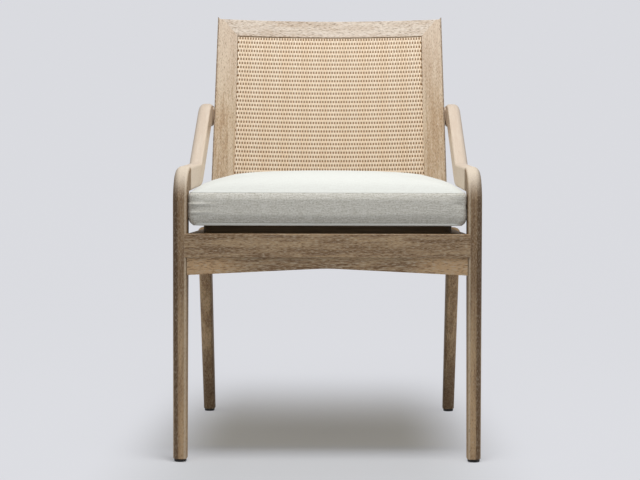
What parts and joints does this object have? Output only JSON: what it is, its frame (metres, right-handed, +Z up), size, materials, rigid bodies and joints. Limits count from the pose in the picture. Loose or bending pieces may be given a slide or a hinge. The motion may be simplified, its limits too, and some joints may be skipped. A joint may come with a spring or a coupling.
{
  "type": "side chair",
  "caption": "Wooden chair with front legs that roll over into low sloping arms, a reclined curved back with a woven cane panel, and a loose crowned seat cushion.",
  "frame": {"origin": "on the floor under the middle of the overall width and depth", "axes": "+X to the right as seen from the front, +Y from front to back, +Z up"},
  "size_m": [0.5644, 0.59, 0.88],
  "materials": {
    "limed_wood": "open grain, limed, matt",
    "plain_wood": "raw beech",
    "dark_board": "dark stained plywood",
    "cane": "natural woven cane",
    "linen": "slubbed plain weave",
    "foam": "open-cell foam",
    "zip_tape": "woven tape, coil teeth",
    "glide_plastic": "black",
    "steel": "zinc plated"
  },
  "bodies": {
    "frame": {"front_leg_left": "limed_wood", "front_leg_right": "limed_wood", "rear_leg_left": "limed_wood", "rear_leg_right": "limed_wood", "arm_left": "limed_wood", "arm_right": "limed_wood", "front_seat_rail": "limed_wood", "front_apron": "limed_wood", "side_seat_rail_left": "limed_wood", "side_seat_rail_right": "limed_wood", "rear_seat_rail": "limed_wood", "back_stile_left": "limed_wood", "back_stile_right": "limed_wood", "back_top_rail": "limed_wood", "back_bottom_rail": "limed_wood", "cane_spline": "limed_wood", "corner_block_front_left": "plain_wood", "corner_block_front_right": "plain_wood", "corner_block_rear_left": "plain_wood", "corner_block_rear_right": "plain_wood", "arm_front_dowels": "plain_wood", "arm_back_dowels": "plain_wood", "front_rail_dowels": "plain_wood", "apron_dowels": "plain_wood", "side_rail_dowels": "plain_wood", "rear_rail_dowels": "plain_wood", "rear_leg_dowels": "plain_wood", "back_foot_dowels": "plain_wood", "back_mitre_dowels": "plain_wood", "back_rail_dowels": "plain_wood", "glide_front_left": "glide_plastic", "glide_front_right": "glide_plastic", "glide_rear_left": "glide_plastic", "glide_rear_right": "glide_plastic", "cane_panel": "cane", "seat_deck": "dark_board", "deck_screws": "steel"},
    "cushion": {"cushion_cover": "linen", "cushion_foam": "foam", "cushion_zipper": "zip_tape"}
  },
  "joints": [
    {"name": "cushion_lift", "type": "slide", "parent": "frame", "child": "cushion", "axis": [0, 0, 1], "range_m": [0, 0.15]}
  ]
}
